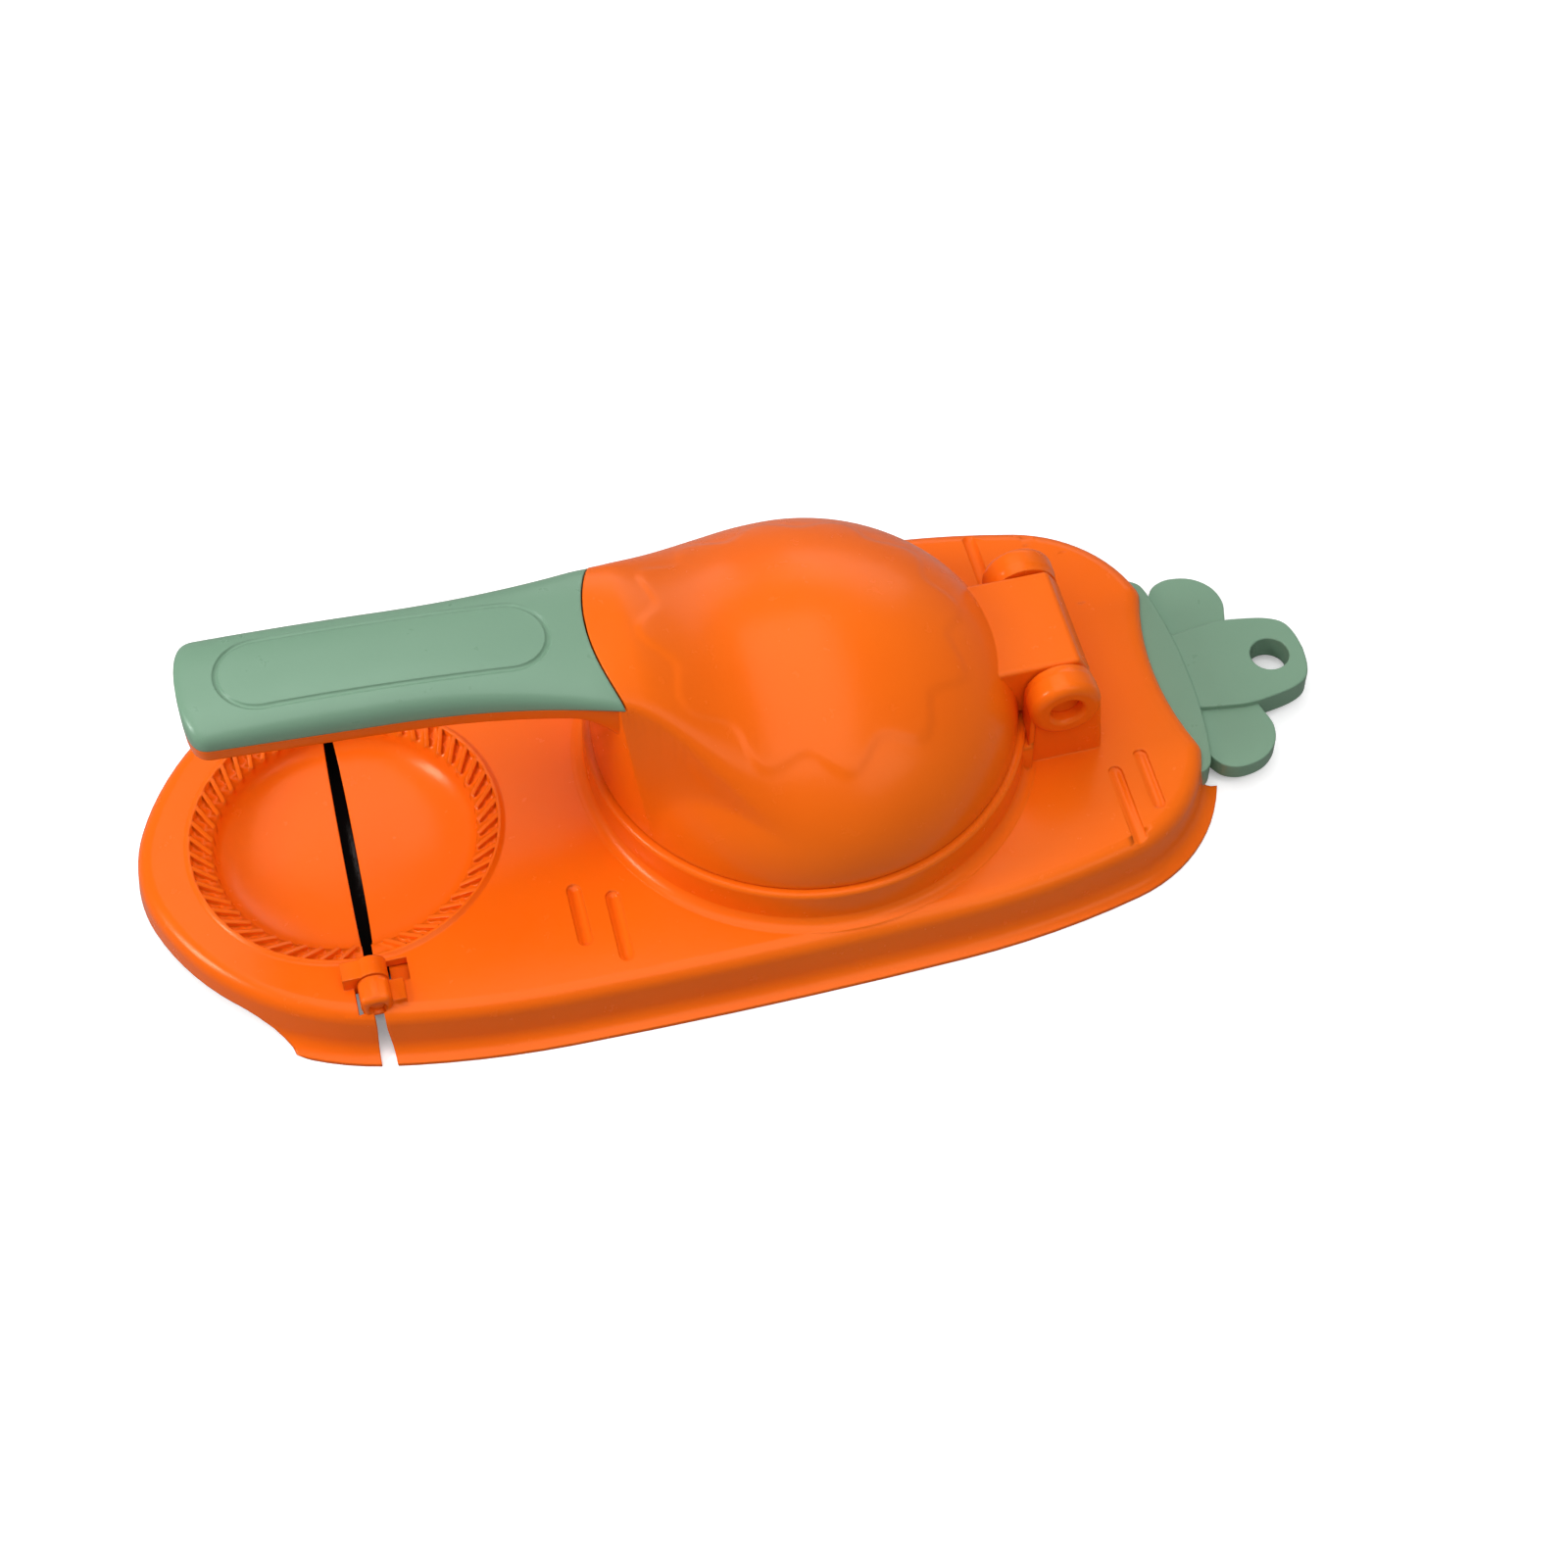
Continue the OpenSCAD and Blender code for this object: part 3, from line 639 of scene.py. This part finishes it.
def pill_tube():
    """Rod along the pill's line, half sunk into the top of the cover."""
    line = pill(PILL_L - 2 * GROOVE_INSET, PILL_W - 2 * GROOVE_INSET)
    path = [(PILL_START + GROOVE_INSET + x, y) for x, y in line]
    up = Vector((0, 0, 1))
    rings = []
    for i, (x, y) in enumerate(path):
        before, after = path[i - 1], path[(i + 1) % len(path)]
        along = Vector((after[0] - before[0], after[1] - before[1], 0)).normalized()
        side = Vector((-along.y, along.x, 0))
        centre = Vector((x, y, ridge_surface(x, y) + GROOVE_RISE))
        rings.append([tuple(centre + GROOVE_R * (math.cos(a) * side + math.sin(a) * up)) for a in turns(12)])
    return loft("pill_line", rings, around=True)


def cover_piece():
    cover = loft("cover", [cover_ring(x) for x in stations(NECK_X + 12)])
    joined(cover, cover_space(COVER_ARC_R), "INTERSECT")
    joined(cover, cover_hollow(), "DIFFERENCE")
    joined(cover, pill_tube(), "DIFFERENCE")
    placed(cover, "grip_shell", "lever", green, "grip_cover")


# Body: fillet of the ring, ears and hinge blocks, floors of the hinge pockets, and marks in the plate

RING_R = 44.0
RING_FILLET = 2.7

EAR_Y = KNUCKLE_W / 2 + 0.5
EAR_OUT = 18.7
EAR_R = 7.25
FOOT_Y = 16.6
PIN_END_Y = EAR_Y + 3.7
EAR_BORE = [(EAR_Y - 0.5, PIN_R + 0.07), (PIN_END_Y, PIN_R + 0.07), (PIN_END_Y + 0.01, 3.1),
            (EAR_OUT - 0.8, 3.2), (EAR_OUT - 0.3, 3.5), (EAR_OUT + 0.5, 4.6)]

BRACKET_HALF = 2.95
BRACKET_Y = 37.0
FLAP_PIN_END = 41.8
BRACKET_OUT = FLAP_PIN_END + 0.8
FLAP_PIN_R = 1.5
BRACKET_BORE = [(BRACKET_Y - 0.1, FLAP_PIN_R + 0.06), (FLAP_PIN_END, FLAP_PIN_R + 0.06),
                (FLAP_PIN_END + 0.01, FLAP_PIN_R - 0.1), (BRACKET_OUT + 0.2, FLAP_PIN_R + 0.4)]

NOTCH_X = (MOULD_X + 3.4, MOULD_X + 7.6)
NOTCH_Y = (31.4, 37.6)
NOTCH_Z = (BODY_H - 3.8, BODY_H - 2.5)

# Marks: place along x, then from where to where across the plate
MARK_R = 1.5
MARK_Z = BODY_H + 0.6
FRONT_MARKS = [(-37.6, 24.8, 36.4), (-30.6, 28.0, 41.6), (72.2, 23.4, 40.2), (78.2, 20.6, 32.4)]
REAR_MARKS = [(-37.6, 24.8, 36.4), (-30.6, 28.0, 41.6), (60.2, 29.5, 41.6)]
FILLED_MARKS = FRONT_MARKS[2:]
FILLER_HALF = 2.1


def ring_foot():
    """Fillet between the cutting ring and the plate."""
    arc = [(RING_R + RING_FILLET * (1 - math.sin(a)), BODY_H + 0.02 + RING_FILLET * (1 - math.cos(a)))
           for a in arc_angles(0, 90, 6)]
    under = [(RING_R - 1, BODY_H - 0.6), (RING_R + RING_FILLET + 0.02, BODY_H - 0.6)]
    return turned("ring_foot", under + arc + [(RING_R - 1, BODY_H + RING_FILLET)], (PRESS_X, 0), 240)


def ear_space(side):
    """Space over the plate, outside the pedestal and clear of the ring."""
    outline = rectangle(PRESS_X + 30, HINGE_X + EAR_R + 5, BODY_H + 0.02, 40)
    space = across("ear_space", outline, side * FOOT_Y, side * 25)
    return joined(space, cylinder("ring", RING_R + 1.8, 0, 60, (PRESS_X, 0)), "DIFFERENCE")


def ear(side):
    """One ear of the lever's hinge: a round boss that runs down into the pedestal."""
    disc = across("boss", circle(HINGE_X, AXIS_Z, EAR_R), side * (EAR_Y + 0.15), side * EAR_OUT)
    boss = rounded(disc, 2.0, 40, 6)
    outline = [(HINGE_X - EAR_R + 0.6, BODY_H - 1), (HINGE_X + EAR_R + 1.6, BODY_H - 1),
               (HINGE_X + EAR_R + 0.5, AXIS_Z - 2), (HINGE_X - EAR_R + 0.8, AXIS_Z - 2)]
    foot = across("foot", outline, side * (EAR_Y + 0.3), side * (FOOT_Y + 0.3))
    return joined(boss, rounded(foot, 1.3, 40, 5), "UNION")


def bracket(side):
    """Outer block of the flap's hinge with soft edges."""
    r = BRACKET_HALF
    outline = rectangle(MOULD_X - r, MOULD_X + r, FLAP_AXIS_Z - r, FLAP_AXIS_Z + r)
    block = across("bracket", outline, side * (BRACKET_Y + 0.12), side * BRACKET_OUT)
    return rounded(block, 1.2, 40, 5)


def mark(x, y0, y1, side):
    """A capsule that leaves a half-round groove."""
    stops = []
    for end, steps in ((y0, range(7)), (y1, range(6, 13))):
        for a in (math.pi * (k / 12 - 0.5) for k in steps):
            stops.append((end + MARK_R * math.sin(a), max(0.02, MARK_R * math.cos(a))))
    return rod(x, MARK_Z, side, stops, 24)


def filler(body, x, y0, y1):
    """A block that closes a pocket in the plate, level with the plate on both sides of it."""
    bpy.context.view_layer.update()
    left, right, low = x - FILLER_HALF, x + FILLER_HALF, BODY_H - 1.7
    rings = []
    for k in range(41):
        y = mix(y0, y1, k / 40)
        tops = [body.ray_cast((px, y, 60), (0, 0, -1))[1].z - 0.005 for px in (left, right)]
        if min(tops) > BODY_H - 1.3:
            rings.append([(left, y, tops[0]), (right, y, tops[1]), (right, y, low), (left, y, low)])
    return loft("filler", rings)


def body_piece():
    body = copied("base_body")
    for x, y0, y1 in FILLED_MARKS:
        joined(body, filler(body, x, y0 - MARK_R - 0.5, y1 + MARK_R + 0.5), "UNION")
    for side in (1, -1):
        joined(body, ear_space(side), "DIFFERENCE")
    joined(body, ring_foot(), "UNION")
    for side in (1, -1):
        joined(body, ear(side), "UNION")
        joined(body, rod(HINGE_X, AXIS_Z, side, EAR_BORE), "DIFFERENCE")
        joined(body, bracket(side), "UNION")
        joined(body, rod(MOULD_X, FLAP_AXIS_Z, side, BRACKET_BORE), "DIFFERENCE")
        notch_floor = across("notch_floor", rectangle(*NOTCH_X, *NOTCH_Z), *(side * y for y in NOTCH_Y))
        joined(body, notch_floor, "UNION")
    for side, marks in ((-1, FRONT_MARKS), (1, REAR_MARKS)):
        for x, y0, y1 in marks:
            joined(body, mark(x, y0, y1, side), "DIFFERENCE")
    placed(body, "body_shell", "base", orange, "base_body", 28)


# Leaf: band against the body, middle lobe with the hanging hole, two side lobes and a tongue under the body

LEAF_Z = 2.2
LEAF_TOP = 8.0
LOBE_STEP = 1.5
LOBE_EDGE = 1.3
HOLE_X = 112.8
HOLE_R = 4.0
HOLE_EDGE = 0.4
TONGUE_X = 75.7574
BAND_X = 87.0
BAND_HALF = 25.2
TONGUE_HALF = BAND_HALF - 1.2
PEG_R = 2.43
PEG_Y = 14

# Half of the middle lobe, one side lobe and the band's edge, in plan
MIDDLE_LINE = [(93.6, 9.4), (99.0, 10.3), (105.0, 10.9), (111.0, 10.2), (115.4, 9.1), (118.2, 7.3),
               (119.5, 4.2), (119.98, 0.0)]
SIDE_LINE = [(106.4, 9.0), (107.4, 12.6), (108.2, 16.6), (107.0, 20.8), (103.6, 23.9), (98.8, 24.9),
             (95.2, 23.6), (93.2, 20.6)]
SIDE_INNER = (92.5, 8.0)
BAND_LINE = [(90.6, -BAND_HALF), (92.4, -23.4), (93.5, -19.0), (94.4, -12.5), (94.9, -6.0), (95.0, 0.0),
             (94.9, 6.0), (94.4, 12.5), (93.5, 19.0), (92.4, 23.4), (90.6, BAND_HALF)]


def curve(points, steps=10):
    """A smooth open line through the points."""
    ends = [points[0]] + points + [points[-1]]
    line = []
    for k in range(1, len(ends) - 2):
        a, b, c, d = (Vector(ends[k + i]) for i in (-1, 0, 1, 2))
        for i in range(steps):
            t = i / steps
            line.append(tuple(0.5 * (2 * b + (c - a) * t + (2 * a - 5 * b + 4 * c - d) * t ** 2
                                     + (3 * b - a - 3 * c + d) * t ** 3)))
    return line + [tuple(points[-1])]


def flipped(line):
    """The mirror image of a line, in reverse, so that the two make one outline."""
    return [(x, -y) for x, y in reversed(line)]


def slab(name, outline, z0, z1, edge):
    """A flat outline of (x, y) carried up from z0 to z1, with its edges rounded."""
    made = loft(name, [[(x, y, z) for x, y in outline] for z in (z0, z1)])
    return rounded(made, edge, 40, 4)


def hanging_hole():
    wide = HOLE_R + HOLE_EDGE
    outline = [(0, -5), (HOLE_R, -5), (HOLE_R, LEAF_TOP - HOLE_EDGE),
               (wide, LEAF_TOP + 0.01), (wide, 20), (0, 20)]
    return turned("hole", outline, (HOLE_X, 0), 96)


def leaf_piece():
    middle = curve(MIDDLE_LINE)
    side = curve(SIDE_LINE)
    band = [(BAND_X, -BAND_HALF), *curve(BAND_LINE), (BAND_X, BAND_HALF)]
    leaf = slab("band", band, LEAF_Z + 0.1, LEAF_TOP, 0.45)
    joined(leaf, slab("middle", middle + flipped(middle)[1:], LEAF_Z, LEAF_TOP - 0.25, LOBE_EDGE), "UNION")
    for line in (side, flipped(side)):
        inner = (SIDE_INNER[0], math.copysign(SIDE_INNER[1], line[3][1]))
        lobe = slab("side", line + [inner], LEAF_Z + 0.4, LEAF_TOP - LOBE_STEP, LOBE_EDGE)
        joined(leaf, lobe, "UNION")
    tongue = [(TONGUE_X + 0.5, -TONGUE_HALF), (90.0, -TONGUE_HALF), (90.0, TONGUE_HALF),
              (TONGUE_X + 0.5, TONGUE_HALF)]
    joined(leaf, slab("tongue", tongue, LEAF_Z + 0.2, LEAF_TOP - 0.5, 0.3), "UNION")
    joined(leaf, hanging_hole(), "DIFFERENCE")
    for y in (-PEG_Y, PEG_Y):
        joined(leaf, cylinder("peg_hole", PEG_R, -5, 20, (TONGUE_X + 5, y), 48), "DIFFERENCE")
    placed(leaf, "leaf_shell", "base", green, "leaf_hanger")


# Floor, light and camera; places and sizes of lights are in metres

FLOOR_HALF = 3.0
FLOOR_DROP = 0.02 * MM

# Half axes of the ellipse of painted shade on the floor under the slot between body and flap
SLOT_SHADE = (7 * MM, 38 * MM)

# Name, place, height aimed at, size and power of each soft light
LIGHTS = [
    ("top", (-0.06, 0.0, 0.85), 0.01, (1.3, 0.7), 5.3),
    ("left", (-0.68, 0.02, 0.46), 0.01, (0.16, 0.3), 3.0),
    ("front", (0.45, -0.60, 0.70), 0.01, (0.5, 0.4), 1.0),
    ("rear", (0.35, 0.70, 0.40), 0.02, (0.5, 0.3), 0.6),
]
WORLD_LIGHT = 0.28

CAMERA_TARGET = Vector((8.0, -9.21, 10.0)) * MM
CAMERA_DISTANCE = 599.36 * MM
CAMERA_BACK = Vector((-0.1262, -0.5677, 0.8135)).normalized()
CAMERA_AZIMUTH = math.radians(-12.53)
CAMERA_ROLL = math.radians(-1.31)
CAMERA_LENS = 69.27
CAMERA_SENSOR = 36


def openness(tree, distance):
    """A node whose AO output says how much of the space round a point of the floor is open."""
    made = node(tree, "ShaderNodeAmbientOcclusion", Distance=distance)
    made.samples = 32
    return made


def slot_shade(tree):
    """Mask of painted shade: 1 on the floor under the slot, as long as the flap stands beside it, and 0
    elsewhere.
    """
    place = tree.nodes.new("ShaderNodeTexCoord").outputs["Object"]
    shifted = vector_math(tree, "SUBTRACT", place, (MOULD_X * MM, 0, 0))
    squeezed = vector_math(tree, "MULTIPLY", shifted, (*(1 / half for half in SLOT_SHADE), 0))
    length = tree.nodes.new("ShaderNodeVectorMath")
    length.operation = "LENGTH"
    tree.links.new(squeezed, length.inputs[0])
    inside = spread(tree, length.outputs["Value"], 0.85, 1.0, 1.0, 0.0)

    to_flap = node(tree, "ShaderNodeCombineXYZ", X=-0.7, Z=0.7)
    beside = openness(tree, 60 * MM)
    tree.links.new(to_flap.outputs["Vector"], beside.inputs["Normal"])
    return multiplied(tree, inside, spread(tree, beside.outputs["AO"], 0.62, 0.78, 1.0, 0.0))


def floor_material():
    """White that shows shadows, brightened by a glow that only the camera sees; the glow is dimmed near the
    object as painted contact shade, and the floor is painted dark under the slot as painted shade.
    """
    material = bpy.data.materials.new("floor_white")
    material.use_nodes = True
    tree = material.node_tree
    tree.nodes.clear()
    diffuse = tree.nodes.new("ShaderNodeBsdfDiffuse")
    glow = tree.nodes.new("ShaderNodeEmission")
    seen = tree.nodes.new("ShaderNodeLightPath").outputs["Is Camera Ray"]
    shade = slot_shade(tree)

    bounce = spread(tree, seen, 0, 1, 0.4, 1.0)
    # Painted shade: under the slot the floor's colour drops to near black.
    floor_colour_with_painted_shade = spread(tree, shade, 0, 1, 0.8, 0.004)
    tree.links.new(multiplied(tree, bounce, floor_colour_with_painted_shade), diffuse.inputs["Color"])
    # Painted contact shade: the camera-only glow is dimmed where the object is close by.
    glow_with_painted_contact_shade = spread(tree, openness(tree, 120 * MM).outputs["AO"], 0.0, 0.35, 0.15, 0.5)
    # Painted shade: the glow is turned off under the slot as well.
    glow_outside_painted_shade = spread(tree, shade, 0, 1, 1, 0)
    tree.links.new(multiplied(tree, glow_with_painted_contact_shade, glow_outside_painted_shade), glow.inputs["Color"])
    tree.links.new(seen, glow.inputs["Strength"])

    both = tree.nodes.new("ShaderNodeAddShader")
    tree.links.new(diffuse.outputs["BSDF"], both.inputs[0])
    tree.links.new(glow.outputs["Emission"], both.inputs[1])
    out = tree.nodes.new("ShaderNodeOutputMaterial")
    tree.links.new(both.outputs["Shader"], out.inputs["Surface"])
    return material


def white_floor():
    mesh = bpy.data.meshes.new("floor")
    corners = rectangle(-FLOOR_HALF, FLOOR_HALF, -FLOOR_HALF, FLOOR_HALF)
    mesh.from_pydata([(x, y, -FLOOR_DROP) for x, y in corners], [], [(0, 1, 2, 3)])
    mesh.materials.append(floor_material())
    floor = bpy.data.objects.new("floor", mesh)
    bpy.context.scene.collection.objects.link(floor)


def soft_box(name, place, aim_z, size, power):
    """A rectangular light that faces a point over the middle of the object."""
    light = bpy.data.lights.new(name, "AREA")
    light.shape = "RECTANGLE"
    light.size, light.size_y = size
    light.energy = power
    holder = bpy.data.objects.new(name, light)
    bpy.context.scene.collection.objects.link(holder)
    holder.location = place
    towards = Vector((0, 0, aim_z)) - Vector(place)
    holder.rotation_euler = towards.to_track_quat("-Z", "Y").to_euler()


def plain_world():
    """White to the camera, dimmer as a light."""
    world = bpy.data.worlds.new("studio")
    bpy.context.scene.world = world
    world.use_nodes = True
    tree = world.node_tree
    sky = tree.nodes["Background"]
    sky.inputs["Color"].default_value = (1.0, 1.0, 1.0, 1)
    seen = tree.nodes.new("ShaderNodeLightPath").outputs["Is Camera Ray"]
    tree.links.new(spread(tree, seen, 0, 1, WORLD_LIGHT, 1.0), sky.inputs["Strength"])


def photo_camera():
    """Camera at the photograph's angle; right, up and back are its axes in the object's frame."""
    level = Vector((math.cos(CAMERA_AZIMUTH), math.sin(CAMERA_AZIMUTH), 0))
    rise = CAMERA_BACK.cross(level)
    right = math.cos(CAMERA_ROLL) * level + math.sin(CAMERA_ROLL) * rise
    up = math.cos(CAMERA_ROLL) * rise - math.sin(CAMERA_ROLL) * level
    camera = bpy.data.cameras.new("camera")
    camera.sensor_width = CAMERA_SENSOR
    camera.lens = CAMERA_LENS
    camera.clip_start = 0.01
    camera.clip_end = 20
    holder = bpy.data.objects.new("camera", camera)
    bpy.context.scene.collection.objects.link(holder)
    turn = Matrix((right, up, CAMERA_BACK)).transposed().to_4x4()
    holder.matrix_world = Matrix.Translation(CAMERA_TARGET + CAMERA_DISTANCE * CAMERA_BACK) @ turn
    bpy.context.scene.camera = holder


# The scene

lever_piece()
cover_piece()
body_piece()
placed(copied("mold_flap"), "flap_shell", "flap", orange, "mold_flap", 28)
leaf_piece()
for cad_node in ("press_plate", "lever_hinge_pin", "flap_pin_front", "flap_pin_rear"):
    frame["nodes"][cad_node].data.materials.clear()
    frame["nodes"][cad_node].data.materials.append(orange)

white_floor()
plain_world()
for light in LIGHTS:
    soft_box(*light)
photo_camera()
bpy.context.scene.view_settings.view_transform = "Standard"
